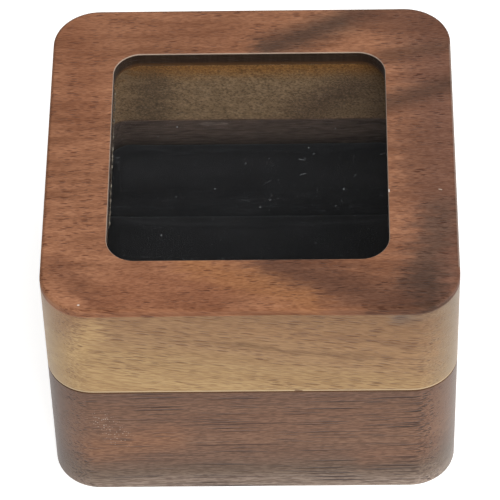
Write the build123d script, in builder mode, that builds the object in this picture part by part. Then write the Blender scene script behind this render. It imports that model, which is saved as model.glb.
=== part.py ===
"""Double ring box: a square walnut box in two halves, with a window in the lid that lifts off.

The closed box stands on z = 0 with its centre on the z axis. X runs along the two ring slots and
Y from the front to the back. All sizes are in millimetres.
"""

import os
from math import cos, pi

from build123d import *

# Outside of the closed box
box_width = 65.0
box_depth = 65.0
outer_corner_radius = 7.5
base_height = 24.5
lid_height = 20.0
lid_top_edge_radius = 0.5
foot_edge_radius = 0.3
seam_arris = 0.15

# Hollow that both halves are milled out to
wall = 7.0
hollow_corner_radius = 4.5
base_floor = 3.0
lid_top = 2.7

# Window, cut through the top of the lid inside a ledge for the pane, a little left of the middle
window_side_ledge = 3.45
window_end_ledge = 3.15
window_shift = -0.35
window_corner_radius = 4.5
window_arris = 0.1

# Clear pane, stuck under the ledge
pane_thickness = 2.0
pane_edge_clearance = 0.25
adhesive_thickness = 0.25
adhesive_setback = 0.2

# Ring pad: three foam bars in velvet covers, side by side on a card board
board_thickness = 1.2
pad_edge_clearance = 0.3
pad_drop = 4.25
pad_crown = 0.45
pad_edge_radius = 1.6
slot_offset = 9.2
slot_gap = 0.6
velvet_thickness = 0.8
velvet_slack = 0.1

# Round magnets, sunk in the corners of both halves
magnet_diameter = 5.0
magnet_thickness = 2.0
magnet_recess = 0.15
magnet_bore_clearance = 0.05

# Sizes that follow from the ones above
box_height = base_height + lid_height
hollow_width = box_width - 2 * wall
hollow_depth = box_depth - 2 * wall
window_width = hollow_width - 2 * window_side_ledge
window_depth = hollow_depth - 2 * window_end_ledge
ledge_z = box_height - lid_top
pane_top_z = ledge_z - adhesive_thickness
pane_width = hollow_width - 2 * pane_edge_clearance
pane_depth = hollow_depth - 2 * pane_edge_clearance
pane_corner_radius = hollow_corner_radius - pane_edge_clearance
pad_width = hollow_width - 2 * pad_edge_clearance
pad_depth = hollow_depth - 2 * pad_edge_clearance
pad_corner_radius = hollow_corner_radius - pad_edge_clearance
pad_bottom_z = base_floor + board_thickness
pad_top_z = base_height - pad_drop
magnet_depth = magnet_thickness + magnet_recess

# A magnet stands midway between the rounded corners outside and inside the wall
corner_share = 1 - cos(pi / 4)
magnet_x = (box_width + hollow_width) / 4 - (outer_corner_radius + hollow_corner_radius) * corner_share / 2
magnet_y = (box_depth + hollow_depth) / 4 - (outer_corner_radius + hollow_corner_radius) * corner_share / 2

# Bars of the ring pad, from the front: the Y place of each one's front and back side
bars = {
    "front": (-pad_depth / 2, -slot_offset - slot_gap / 2),
    "middle": (-slot_offset + slot_gap / 2, slot_offset - slot_gap / 2),
    "rear": (slot_offset + slot_gap / 2, pad_depth / 2),
}

# Corners of the box that hold a magnet, as seen from above with the front below
corners = {
    "front_left": (-magnet_x, -magnet_y),
    "front_right": (magnet_x, -magnet_y),
    "rear_left": (-magnet_x, magnet_y),
    "rear_right": (magnet_x, magnet_y),
}


def pad_bar(front_y, back_y, inset):
    """One bar of the pad, crowned and rounded along its top, and drawn in by inset all over."""
    low_y = front_y + inset
    high_y = back_y - inset
    end_x = pad_width / 2 - inset
    top_z = pad_top_z - inset
    shoulder_z = top_z - pad_crown
    edge_radius = pad_edge_radius - inset
    with BuildPart() as bar:
        with BuildSketch(Plane.XY.offset(pad_bottom_z)):
            RectangleRounded(2 * end_x, pad_depth - 2 * inset, pad_corner_radius - inset)
            with Locations((0, (low_y + high_y) / 2)):
                Rectangle(2 * end_x, high_y - low_y, mode=Mode.INTERSECT)
        extrude(amount=top_z - pad_bottom_z)
        with BuildSketch(Plane.YZ) as cross_profile:
            with BuildLine():
                Polyline((low_y, shoulder_z), (low_y, pad_bottom_z), (high_y, pad_bottom_z), (high_y, shoulder_z))
                ThreePointArc((high_y, shoulder_z), ((low_y + high_y) / 2, top_z), (low_y, shoulder_z))
            make_face()
            fillet(cross_profile.vertices().group_by(Axis.Y)[-1], radius=edge_radius)
        extrude(amount=pad_width / 2, both=True, mode=Mode.INTERSECT)
        with BuildSketch(Plane.XZ) as long_profile:
            with BuildLine():
                Polyline((-end_x, top_z), (-end_x, pad_bottom_z), (end_x, pad_bottom_z), (end_x, top_z), close=True)
            make_face()
            fillet(long_profile.vertices().group_by(Axis.Y)[-1], radius=edge_radius)
        extrude(amount=pad_depth / 2, both=True, mode=Mode.INTERSECT)
    return bar.part


def save(piece, name):
    """Label a finished piece and write it to its own file."""
    piece.label = name
    export_step(piece, f"parts/{name}.step")


os.makedirs("parts", exist_ok=True)

# Lower half: a block with a pocket for the pad and a magnet bore in each corner of its rim
with BuildPart() as base_block:
    with BuildSketch():
        RectangleRounded(box_width, box_depth, outer_corner_radius)
    extrude(amount=base_height)
    with BuildSketch(Plane.XY.offset(base_floor)):
        RectangleRounded(hollow_width, hollow_depth, hollow_corner_radius)
    extrude(amount=base_height - base_floor, mode=Mode.SUBTRACT)
    fillet(base_block.faces().sort_by(Axis.Z)[0].edges(), radius=foot_edge_radius)
    chamfer(base_block.faces().sort_by(Axis.Z)[-1].edges(), length=seam_arris)
    with Locations(*[(x, y, base_height) for x, y in corners.values()]):
        Hole(magnet_diameter / 2 + magnet_bore_clearance, depth=magnet_depth)

# Upper half: the cavity is milled from below, and the window is cut through what is left above it
with BuildPart() as lid_block:
    with BuildSketch(Plane.XY.offset(base_height)):
        RectangleRounded(box_width, box_depth, outer_corner_radius)
    extrude(amount=lid_height)
    with BuildSketch(Plane.XY.offset(base_height)):
        RectangleRounded(hollow_width, hollow_depth, hollow_corner_radius)
    extrude(amount=ledge_z - base_height, mode=Mode.SUBTRACT)
    chamfer(lid_block.faces().sort_by(Axis.Z)[0].edges(), length=seam_arris)
    fillet(lid_block.faces().sort_by(Axis.Z)[-1].edges(), radius=lid_top_edge_radius)
    with BuildSketch(Plane((window_shift, 0, ledge_z))):
        RectangleRounded(window_width, window_depth, window_corner_radius)
    extrude(amount=lid_top, mode=Mode.SUBTRACT)
    chamfer(lid_block.faces().sort_by(Axis.Z)[-1].inner_wires()[0].edges(), length=window_arris)
    with Locations(*[Location((x, y, base_height), (180, 0, 0)) for x, y in corners.values()]):
        Hole(magnet_diameter / 2 + magnet_bore_clearance, depth=magnet_depth)

# Clear pane, nearly as large as the cavity
with BuildPart() as window_pane:
    with BuildSketch(Plane.XY.offset(pane_top_z)):
        RectangleRounded(pane_width, pane_depth, pane_corner_radius)
    extrude(amount=-pane_thickness)

# Film of adhesive between the ledge and the pane, all round the window
with BuildPart() as pane_adhesive:
    with BuildSketch(Plane.XY.offset(pane_top_z)):
        RectangleRounded(
            pane_width - 2 * adhesive_setback,
            pane_depth - 2 * adhesive_setback,
            pane_corner_radius - adhesive_setback,
        )
        with Locations((window_shift, 0)):
            RectangleRounded(
                window_width + 2 * adhesive_setback,
                window_depth + 2 * adhesive_setback,
                window_corner_radius + adhesive_setback,
                mode=Mode.SUBTRACT,
            )
    extrude(amount=adhesive_thickness)

# Card board under the pad
with BuildPart() as pad_board:
    with BuildSketch(Plane.XY.offset(base_floor)):
        RectangleRounded(pad_width, pad_depth, pad_corner_radius)
    extrude(amount=board_thickness)

save(base_block.part, "base_block")
save(lid_block.part, "lid_block")
save(window_pane.part, "window_pane")
save(pane_adhesive.part, "pane_adhesive")
save(pad_board.part, "pad_board")

# The pad's bars: a foam core that stands on the board, and a velvet cover over it
for place, (front_y, back_y) in bars.items():
    outside = pad_bar(front_y, back_y, 0)
    inside = pad_bar(front_y, back_y, velvet_thickness)
    with BuildPart() as velvet_cover:
        add(outside)
        add(inside, mode=Mode.SUBTRACT)
    save(velvet_cover.part, f"velvet_cover_{place}")
    save(pad_bar(front_y, back_y, velvet_thickness + velvet_slack), f"foam_bar_{place}")

# Magnets, with their outer faces just below the rims that meet at the seam
for place, (x, y) in corners.items():
    with BuildPart() as base_magnet:
        with BuildSketch(Plane((x, y, base_height - magnet_depth))):
            Circle(magnet_diameter / 2)
        extrude(amount=magnet_thickness)
    with BuildPart() as lid_magnet:
        with BuildSketch(Plane((x, y, base_height + magnet_recess))):
            Circle(magnet_diameter / 2)
        extrude(amount=magnet_thickness)
    save(base_magnet.part, f"base_magnet_{place}")
    save(lid_magnet.part, f"lid_magnet_{place}")
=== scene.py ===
import logging
import math
from contextlib import contextmanager
from dataclasses import dataclass
from enum import Enum
from itertools import product
from typing import Callable, Iterator, Sequence

import bmesh
import bpy
from mathutils import Matrix, Vector, noise


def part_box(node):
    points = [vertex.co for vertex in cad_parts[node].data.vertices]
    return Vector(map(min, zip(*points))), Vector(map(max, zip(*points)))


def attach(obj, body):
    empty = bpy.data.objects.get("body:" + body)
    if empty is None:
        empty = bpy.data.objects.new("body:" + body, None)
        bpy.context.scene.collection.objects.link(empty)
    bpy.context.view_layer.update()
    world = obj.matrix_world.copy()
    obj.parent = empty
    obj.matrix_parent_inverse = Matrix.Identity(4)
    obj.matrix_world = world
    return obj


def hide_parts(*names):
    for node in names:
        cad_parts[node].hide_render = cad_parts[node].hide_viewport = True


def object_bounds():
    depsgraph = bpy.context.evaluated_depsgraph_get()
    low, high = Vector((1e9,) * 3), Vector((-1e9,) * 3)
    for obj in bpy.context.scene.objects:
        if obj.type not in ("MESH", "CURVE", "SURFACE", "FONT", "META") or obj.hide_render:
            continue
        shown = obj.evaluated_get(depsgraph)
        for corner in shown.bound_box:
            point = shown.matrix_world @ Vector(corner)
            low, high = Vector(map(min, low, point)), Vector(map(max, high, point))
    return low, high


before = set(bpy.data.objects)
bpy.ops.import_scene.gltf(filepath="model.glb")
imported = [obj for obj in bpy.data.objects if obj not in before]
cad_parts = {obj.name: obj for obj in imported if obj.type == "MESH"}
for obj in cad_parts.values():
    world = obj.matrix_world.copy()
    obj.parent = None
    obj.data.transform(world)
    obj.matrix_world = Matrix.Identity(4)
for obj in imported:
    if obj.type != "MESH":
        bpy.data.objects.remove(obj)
cad_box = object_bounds()
log = logging.getLogger("ring_box")

MM = 0.001
# What a place is multiplied by to lie flat, without its height
FLAT = (1.0, 1.0, 0.0)

Shape = bpy.types.Object
Socket = bpy.types.NodeSocket
Tree = bpy.types.NodeTree
Material = bpy.types.Material
Pair = tuple[float, float]
Triple = tuple[float, float, float]


class Body(Enum):
    """The two bodies of the box, by their names in the frame."""

    BASE = "base"
    LID = "lid"


class Element(Enum):
    """What an edit mode selection is made of, with the name that bmesh gives it."""

    FACES = ("FACE", "faces")
    EDGES = ("EDGE", "edges")
    POINTS = ("VERT", "verts")


class Bar(Enum):
    """The bars of the ring pad, from the front of the box to the back."""

    FRONT = "front"
    MIDDLE = "middle"
    REAR = "rear"


class Corner(Enum):
    """The corners that hold magnets, each named as in the frame."""

    FRONT_LEFT = "front_left"
    FRONT_RIGHT = "front_right"
    REAR_LEFT = "rear_left"
    REAR_RIGHT = "rear_right"


def linear(code: str) -> tuple[float, float, float, float]:
    """Turns an sRGB hex colour into the linear colour that a socket takes."""
    parts = [int(code[i:i + 2], 16) / 255 for i in (1, 3, 5)]
    return (*(c / 12.92 if c <= 0.04045 else ((c + 0.055) / 1.055) ** 2.4 for c in parts), 1.0)


def add(tree: Tree, kind: str, *values: object, out: str | None = None,
        stops: Sequence[tuple[float, str]] = (), **settings: object) -> Socket:
    """Adds one shader node with its settings, values and links.

    Args:
        tree: The node tree that gets the node.
        kind: The node's type name without the ShaderNode in front of it, and its operation after
            a full stop if it has one.
        *values: A value or a socket to link from for each input in turn, or one dictionary of
            them by input name or number.
        out: The output to give back, or None for the first one in use.
        stops: A colour ramp's hex colours with their places, two at least.
        **settings: The node's own properties.

    Returns:
        The output, or None if the node has no outputs.
    """
    kind, _, operation = kind.partition(".")
    node = tree.nodes.new(f"ShaderNode{kind}")
    if operation:
        node.operation = operation
    for name, value in settings.items():
        setattr(node, name, value)
    for _ in stops[2:]:
        node.color_ramp.elements.new(0.5)
    for i, (place, code) in enumerate(stops):
        node.color_ramp.elements[i].position = place
        node.color_ramp.elements[i].color = linear(code)
    inputs = values[0] if values and isinstance(values[0], dict) else dict(enumerate(values))
    for name, value in inputs.items():
        if isinstance(name, int):
            socket = node.inputs[name]
        else:
            socket = next(s for s in node.inputs if s.name == name and s.enabled)
        if isinstance(value, Socket):
            tree.links.new(value, socket)
        else:
            socket.default_value = value
    return node.outputs[out] if out else next((s for s in node.outputs if s.enabled), None)


def new_material(name: str) -> tuple[Material, Tree]:
    """Makes an empty node material.

    Args:
        name: The material's name.

    Returns:
        The material and its node tree, which holds no node yet.
    """
    material = bpy.data.materials.new(name)
    material.use_nodes = True
    material.node_tree.nodes.clear()
    return material, material.node_tree


def in_millimetres(tree: Tree, turn: Triple = (0.0, 0.0, 0.0)) -> Socket:
    """Gives the place on the piece in millimetres.

    Args:
        tree: The material's node tree.
        turn: Turns about X, Y and Z in degrees, for a pattern that lies askew.

    Returns:
        The place as a vector.
    """
    place = add(tree, "TexCoord", out="Object")
    turns = tuple(math.radians(t) for t in turn)
    return add(tree, "Mapping", {"Vector": place, "Rotation": turns, "Scale": (1 / MM,) * 3})


def stretched(tree: Tree, place: Socket, sizes: Triple) -> Socket:
    """Divides a place by a pattern's sizes along X, Y and Z, so that one unit is one feature."""
    return add(tree, "VectorMath.DIVIDE", place, sizes)


def mottle(tree: Tree, place: Socket, sizes: Triple, detail: float = 2.0) -> Socket:
    """Draws a noise with features of the given sizes.

    Args:
        tree: The material's node tree.
        place: The place in millimetres.
        sizes: The features' sizes along X, Y and Z in millimetres.
        detail: How many finer layers the noise has.

    Returns:
        The noise, mostly from 0.3 to 0.7.
    """
    unit = stretched(tree, place, sizes)
    return add(tree, "TexNoise", {"Vector": unit, "Scale": 1.0, "Detail": detail})


def between(tree: Tree, value: Socket, low: float, high: float, smooth: bool = True) -> Socket:
    """Turns a value into a share from 0 to 1.

    Args:
        tree: The material's node tree.
        value: The value to turn.
        low: Where the share is 0.
        high: Where the share is 1; it may be lower than low.
        smooth: Whether the share eases in and out.

    Returns:
        The share.
    """
    kind = "SMOOTHSTEP" if smooth else "LINEAR"
    flipped = low > high
    ends = {"Value": value, "From Min": min(low, high), "From Max": max(low, high)}
    ends |= {"To Min": float(flipped), "To Max": float(not flipped)}
    return add(tree, "MapRange", ends, interpolation_type=kind)


def tint(tree: Tree, share: Socket, under: Socket, over: object) -> Socket:
    """Lays one colour over another.

    Args:
        tree: The material's node tree.
        share: How much of the upper colour shows.
        under: The lower colour.
        over: The upper colour, as a socket or a hex colour.

    Returns:
        The mixed colour.
    """
    over = linear(over) if isinstance(over, str) else over
    return add(tree, "Mix", {"Factor": share, "A": under, "B": over}, data_type="RGBA")


def choose(piece: Shape) -> None:
    """Selects one piece alone and makes it the active one."""
    bpy.ops.object.select_all(action="DESELECT")
    piece.select_set(True)
    bpy.context.view_layer.objects.active = piece


@contextmanager
def edit_mode(piece: Shape) -> Iterator[None]:
    """Opens one piece in edit mode, and leaves edit mode at the end."""
    choose(piece)
    bpy.ops.object.mode_set(mode="EDIT")
    yield
    bpy.ops.object.mode_set(mode="OBJECT")


def pick(piece: Shape, element: Element, test: Callable[[object], bool] = lambda item: True) -> int:
    """Selects what passes a test and nothing else, in edit mode.

    Args:
        piece: The piece in edit mode.
        element: Whether faces, edges or points are tested.
        test: Says of a bmesh element whether it is selected; without it, every one is.

    Returns:
        How many elements are selected.
    """
    mode, group = element.value
    bpy.ops.mesh.select_all(action="DESELECT")
    bpy.ops.mesh.select_mode(type=mode)
    mesh = bmesh.from_edit_mesh(piece.data)
    chosen = [item for item in getattr(mesh, group) if test(item)]
    for item in chosen:
        item.select_set(True)
    mesh.select_flush_mode()
    bmesh.update_edit_mesh(piece.data)
    return len(chosen)


def settle(piece: Shape) -> None:
    """Puts a piece's place, turn and scale into its mesh."""
    choose(piece)
    bpy.ops.object.transform_apply(location=True, rotation=True, scale=True)


def apply_modifier(piece: Shape, kind: str, **settings: object) -> None:
    """Adds a modifier with its settings and applies it to the mesh.

    Args:
        piece: The piece that is changed.
        kind: The modifier's type name.
        **settings: The modifier's properties.
    """
    choose(piece)
    modifier = piece.modifiers.new(kind.lower(), kind)
    for name, value in settings.items():
        setattr(modifier, name, value)
    bpy.ops.object.modifier_apply(modifier=modifier.name)


def new_box(name: str, low: Vector, high: Vector) -> Shape:
    """Adds a cube at its size and place, to be shaped further.

    Args:
        name: The piece's name.
        low: The lowest corner in metres.
        high: The highest corner in metres.

    Returns:
        The new piece.
    """
    bpy.ops.object.select_all(action="DESELECT")
    bpy.ops.mesh.primitive_cube_add(size=1, location=(low + high) / 2, scale=high - low)
    piece = bpy.context.object
    piece.name = piece.data.name = name
    settle(piece)
    return piece


def level(value: float, target: float) -> bool:
    """Whether two lengths in metres are the same to a hundredth of a millimetre."""
    return abs(value - target) < 0.01 * MM


def lies_at(face: bmesh.types.BMFace, height: float) -> bool:
    """Whether a face lies level at a height in metres."""
    return all(level(point.co.z, height) for point in face.verts)


def dress(piece: Shape, material: Material) -> None:
    """Gives a piece its one material."""
    piece.data.materials.clear()
    piece.data.materials.append(material)


def seat(piece: Shape, body: Body, replaced: Sequence[str] = ()) -> None:
    """Ties a finished piece to the frame.

    Args:
        piece: The finished piece.
        body: The body that it moves with.
        replaced: The frame's nodes that it stands for.
    """
    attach(piece, body.value)
    if replaced:
        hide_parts(*replaced)
    log.info("%s: %d faces on %s", piece.name, len(piece.data.polygons), body.value)


@dataclass(frozen=True)
class RoundedSquare:
    """A rectangle with rounded corners, seen from above, in millimetres."""

    half_x: float
    half_y: float
    radius: float
    centre_x: float = 0.0

    def distance(self, tree: Tree, place: Socket) -> Socket:
        """Measures how far a place lies outside this outline, seen from above.

        Args:
            tree: The material's node tree.
            place: The place in millimetres.

        Returns:
            Millimetres outside the outline, or less than 0 inside it.
        """
        centres = (self.half_x - self.radius, self.half_y - self.radius, 0.0)
        moved = add(tree, "VectorMath.SUBTRACT", place, (self.centre_x, 0.0, 0.0))
        flat = add(tree, "VectorMath.MULTIPLY", moved, FLAT)
        folded = add(tree, "VectorMath.ABSOLUTE", flat)
        past = add(tree, "VectorMath.SUBTRACT", folded, centres)
        outer = add(tree, "VectorMath.MAXIMUM", past, (0.0, 0.0, 0.0))
        reach = add(tree, "VectorMath.LENGTH", outer)
        return add(tree, "Math.SUBTRACT", reach, self.radius)


@dataclass(frozen=True)
class Streak:
    """A streak or a mark on a piece, from one place to another, in millimetres."""

    start: Triple
    end: Triple
    reach: float
    colour: str
    strength: float

    def share(self, tree: Tree, place: Socket) -> Socket:
        """Measures how strongly this streak shows at a place.

        Args:
            tree: The material's node tree.
            place: The place in millimetres, feathered along the grain where the streak is.

        Returns:
            A share from 0 to the streak's strength.
        """
        run = Vector(self.end) - Vector(self.start)
        slope = tuple(run / run.length_squared)
        from_start = add(tree, "VectorMath.SUBTRACT", place, self.start)
        along = add(tree, "VectorMath.DOT_PRODUCT", from_start, slope)
        held = add(tree, "Math.ADD", along, 0.0, use_clamp=True)
        nearest = add(tree, "VectorMath.SCALE", {0: tuple(run), "Scale": held})
        gap = add(tree, "VectorMath.DISTANCE", from_start, nearest)
        near = between(tree, gap, self.reach, 0.0)
        return add(tree, "Math.MULTIPLY", near, self.strength)


@dataclass(frozen=True)
class Spot:
    """Where a colour is drawn, in a block's node tree.

    The place and the height are in millimetres. The flow is the place with the grain's slope and
    waves taken out, and the torn place is pulled along the grain, so that streaks end in fibres.
    """

    tree: Tree
    place: Socket
    height: Socket
    flow: Socket
    torn: Socket


@dataclass(frozen=True)
class Zone:
    """Part of a block near an outline and between two heights, in millimetres.

    Each pair says where the zone begins and where it is full: how far outside the outline, and
    how high at its foot and at its roof.
    """

    outline: RoundedSquare
    near: Pair
    foot: Pair
    roof: Pair | None = None
    smooth: bool = False

    def share(self, spot: Spot) -> Socket:
        """Measures how far a place belongs to the zone.

        Args:
            spot: Where the colour is drawn.

        Returns:
            A share that is 1 in the zone.
        """
        tree = spot.tree
        share = between(tree, self.outline.distance(tree, spot.place), *self.near, smooth=self.smooth)
        for heights in (self.foot, self.roof):
            if heights:
                within = between(tree, spot.height, *heights, smooth=False)
                share = add(tree, "Math.MULTIPLY", share, within)
        return share


@dataclass(frozen=True)
class BlockShape:
    """Where a block of the box is hollow, charred or worn, in millimetres.

    The seam side is 1 for the block above the seam and -1 for the one below it.
    """

    hollow_low: float
    hollow_high: float
    seam: float
    seam_side: float
    worn_reach: float
    top: float
    window: RoundedSquare | None = None
    outer: RoundedSquare = RoundedSquare(32.5, 32.5, 7.5)
    inner: RoundedSquare = RoundedSquare(25.5, 25.5, 4.5)
    worn_fade: float = 0.12

    def hollow(self) -> Zone:
        """Gives the walls, floor and ledge of the hollow."""
        low, high = self.hollow_low, self.hollow_high
        return Zone(self.inner, (0.1, 0.06), foot=(low - 0.1, low - 0.05), roof=(high + 0.1, high + 0.05))

    def cut(self) -> Zone:
        """Gives the wall of the window, which the laser that cut it has charred."""
        return Zone(self.window, (0.06, 0.02), foot=(self.hollow_high - 0.05, self.hollow_high + 0.02))

    def rounding(self) -> Zone:
        """Gives the rounded rim round the top, which gets painted shade and a rougher finish."""
        return Zone(self.outer, (-0.65, -0.35), foot=(self.top - 1.4, self.top - 1.2), smooth=True)

    def rim(self) -> Zone:
        """Gives the pale line that the sanding left round the window."""
        return Zone(self.window, (0.12, 0.05), foot=(self.top - 0.24, self.top - 0.18))

    def worn_share(self, spot: Spot) -> Socket:
        """Finds the outer arris along the seam, which hands and the other half have worn.

        Args:
            spot: Where the colour is drawn.

        Returns:
            A share that is 1 on the arris.
        """
        tree, side = spot.tree, self.seam_side
        depth = add(tree, "Math.MULTIPLY", self.outer.distance(tree, spot.place), -1.0)
        lift = add(tree, "Math.MULTIPLY_ADD", spot.height, side, -self.seam * side)
        corner = add(tree, "Math.MAXIMUM", depth, lift)
        return between(tree, corner, self.worn_reach + self.worn_fade, self.worn_reach)


@dataclass(frozen=True)
class Walnut:
    """American black walnut, sanded along the grain and wiped with a satin oil.

    The oil brings up the brown and leaves the pores open, so short dark dashes run along X and
    dots show on the end grain, which drinks more oil and is filled for the most part. Colours go
    from dark to light, apart from those of the sides, which go up the block. Depths say how much
    red, green and blue a pattern takes away. Chances are the draws, from 0 to 1, that give a cell
    no dash and a full dash, and ends say where in a noise or a distance a pattern begins to show
    and where it is full. Sizes, heights and places are in millimetres.
    """

    name: str
    heart: tuple[str, ...]
    sides: tuple[str, ...]
    side_heights: Pair
    heart_heights: Pair
    bare: tuple[str, ...]
    arris: str
    slope: float
    pith: Pair
    ring_spacing: float
    pore_size: Triple
    fine_pore_size: Triple
    pore_depth: Triple
    line_size: Triple
    line_depth: Triple
    figure: tuple[Streak, ...] = ()
    side_figure: tuple[Streak, ...] = ()
    bare_figure_and_painted_light: tuple[Streak, ...] = ()
    marks: tuple[Streak, ...] = ()
    glints: Streak | None = None
    glint_size: Triple = (0.32, 0.32, 0.32)
    glint_chances: Pair = (0.55, 0.7)
    glint_least: float = 0.8
    dash_ends: Pair = (0.43, 0.26)
    pore_chances: Pair = (0.1, 0.9)
    fine_chances: Pair = (0.2, 1.0)
    fine_share: float = 0.75
    line_chances: Pair = (0.35, 1.0)
    drift_size: Triple = (10.0, 2.4, 2.4)
    drift_ends: Pair = (0.36, 0.58)
    drift_least: float = 0.4
    wave_size: Triple = (60.0, 20.0, 20.0)
    wave_reach: Triple = (4.0, 1.6, 1.6)
    tear_size: Triple = (3.5, 0.8, 0.8)
    tear_reach: Triple = (9.0, 1.8, 1.8)
    ring_depth: Triple = (0.06, 0.08, 0.09)
    ring_waver: float = 9.0
    late_ends: Pair = (0.35, 0.9)
    early_ends: Pair = (1.0, 0.94)
    fibre_size: Triple = (1.9, 0.17, 0.17)
    fibre_depth: Triple = (0.22, 0.27, 0.29)
    fibre_ends: Pair = (0.42, 0.58)
    fuzz_size: Triple = (0.4, 0.28, 0.28)
    fuzz_depth: Triple = (0.62, 0.62, 0.63)
    fuzz_ends: Pair = (0.68, 0.32)
    bare_size: Triple = (3.0, 1.4, 1.4)
    bare_ends: Pair = (0.35, 0.65)
    heart_ends: Pair = (0.72, 1.24)
    heart_wobble: float = 1.2
    # How much painted shade the rounded rim round the top takes.
    rounding_shade_depth: Triple = (0.17, 0.18, 0.19)
    # How much painted shade the band under the top takes.
    border_shade_depth: Triple = (0.22, 0.27, 0.32)
    border_heights: Pair = (0.75, 0.05)
    rim_line: str = "#a08d7e"
    band_size: Triple = (30.0, 1.7, 1.7)
    band_depth: Triple = (0.07, 0.09, 0.1)
    band_ends: Pair = (0.6, 0.4)
    cloud_size: Triple = (24.0, 9.0, 9.0)
    side_drift: float = 8.0
    char: tuple[str, ...] = ("#1b120d", "#221913", "#2a2019")
    char_size: Triple = (0.5, 0.5, 4.0)
    char_ends: Pair = (0.3, 0.7)
    scorch: str = "#4a3019"
    scorch_height: float = 0.9
    end_depth: Triple = (0.09, 0.085, 0.09)
    end_filled: float = 0.78
    facing_ends: Pair = (0.3, 0.85)
    roughness: float = 0.42
    rougher_hollow: float = 0.25
    rougher_rim: float = 0.35
    pore_relief: float = -0.05
    fibre_relief: float = 0.012

    def spot(self, tree: Tree) -> Spot:
        """Gives the place on the block, straight, along the grain and torn.

        Args:
            tree: The material's node tree.

        Returns:
            Where the colours are drawn.
        """
        place = in_millimetres(tree)
        height = add(tree, "SeparateXYZ", place, out="Z")
        askew = in_millimetres(tree, (0.0, self.slope, 0.0))
        wide = {"Vector": stretched(tree, askew, self.wave_size), "Scale": 1.0, "Detail": 1.0}
        waves = add(tree, "TexNoise", wide, out="Color")
        centred = add(tree, "VectorMath.SUBTRACT", waves, (0.5,) * 3)
        flow = add(tree, "VectorMath.MULTIPLY_ADD", centred, self.wave_reach, askew)
        pull = add(tree, "Math.ADD", mottle(tree, flow, self.tear_size, 4.0), -0.5)
        tear = add(tree, "VectorMath.SCALE", {0: self.tear_reach, "Scale": pull})
        torn = add(tree, "VectorMath.ADD", place, tear)
        return Spot(tree, place, height, flow, torn)

    def dashes(self, tree: Tree, place: Socket, sizes: Triple, chances: Pair) -> Socket:
        """Draws dashes that taper at both ends, one in each cell at most.

        Args:
            tree: The material's node tree.
            place: The place in millimetres.
            sizes: The cells' sizes along X, Y and Z in millimetres.
            chances: The draws that give a cell no dash and a full dash.

        Returns:
            A share that is 1 in the middle of a full dash.
        """
        cells = {"Vector": stretched(tree, place, sizes), "Scale": 1.0, "Randomness": 1.0}
        gap = add(tree, "TexVoronoi", cells)
        draw = add(tree, "SeparateColor", gap.node.outputs["Color"])
        near = between(tree, gap, *self.dash_ends)
        return add(tree, "Math.MULTIPLY", near, between(tree, draw, *chances))

    def pores(self, spot: Spot) -> Socket:
        """Draws the open pores, coarse and fine, which stand in loose drifts.

        Args:
            spot: Where the colour is drawn.

        Returns:
            A share that is 1 in the middle of a coarse pore.
        """
        tree, flow = spot.tree, spot.flow
        coarse = self.dashes(tree, flow, self.pore_size, self.pore_chances)
        fine = self.dashes(tree, flow, self.fine_pore_size, self.fine_chances)
        fine = add(tree, "Math.MULTIPLY", fine, self.fine_share)
        either = add(tree, "Math.MAXIMUM", coarse, fine)
        drifts = between(tree, mottle(tree, flow, self.drift_size), *self.drift_ends)
        drifts = add(tree, "Math.MULTIPLY_ADD", drifts, 1 - self.drift_least, self.drift_least)
        return add(tree, "Math.MULTIPLY", either, drifts)

    def end_share(self, tree: Tree) -> Socket:
        """Finds the end grain.

        Args:
            tree: The material's node tree.

        Returns:
            A share that is 1 on the faces that look along X.
        """
        facing = add(tree, "VectorMath.ABSOLUTE", add(tree, "TexCoord", out="Normal"))
        across = add(tree, "SeparateXYZ", facing, out="X")
        return between(tree, across, *self.facing_ends)

    def rings(self, spot: Spot, cloud: Socket) -> Socket:
        """Draws the growth rings, which lie round the pith along X.

        Args:
            spot: Where the colour is drawn.
            cloud: A noise that makes the rings uneven.

        Returns:
            A share that is 1 in the dark late wood of each ring.
        """
        tree = spot.tree
        across = add(tree, "VectorMath.MULTIPLY", spot.flow, (0.0, 1.0, 1.0))
        reach = add(tree, "VectorMath.DISTANCE", across, (0.0, *self.pith))
        uneven = add(tree, "Math.MULTIPLY_ADD", cloud, self.ring_waver, reach)
        turns = add(tree, "Math.DIVIDE", uneven, self.ring_spacing)
        part = add(tree, "Math.FRACT", turns)
        late, early = (between(tree, part, *ends) for ends in (self.late_ends, self.early_ends))
        return add(tree, "Math.MULTIPLY", late, early)

    def ramp(self, tree: Tree, value: Socket, codes: Sequence[str], low: float, high: float) -> Socket:
        """Spreads colours evenly over a value's range.

        Args:
            tree: The material's node tree.
            value: The value that picks the colour.
            codes: The hex colours in turn, two at least.
            low: Where the first colour is.
            high: Where the last colour is.

        Returns:
            The colour.
        """
        stops = [(i / (len(codes) - 1), code) for i, code in enumerate(codes)]
        return add(tree, "ValToRGB", between(tree, value, low, high, smooth=False), stops=stops)

    def shade(self, tree: Tree, share: Socket, under: Socket, depth: Triple) -> Socket:
        """Darkens a colour where a share is high.

        Args:
            tree: The material's node tree.
            share: Where the colour goes darker, from 0 to 1.
            under: The colour.
            depth: How much of red, green and blue a full share takes away.

        Returns:
            The darkened colour.
        """
        taken = tuple(-part for part in depth)
        left = add(tree, "VectorMath.MULTIPLY_ADD", share, taken, (1.0, 1.0, 1.0))
        return add(tree, "VectorMath.MULTIPLY", under, left)

    def streaked(self, tree: Tree, place: Socket, under: Socket, streaks: Sequence[Streak]) -> Socket:
        """Lays streaks over a colour.

        Args:
            tree: The material's node tree.
            place: The place that the streaks are measured at.
            under: The colour.
            streaks: The streaks, from the lowest to the uppermost.

        Returns:
            The streaked colour.
        """
        for streak in streaks:
            under = tint(tree, streak.share(tree, place), under, streak.colour)
        return under

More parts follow.
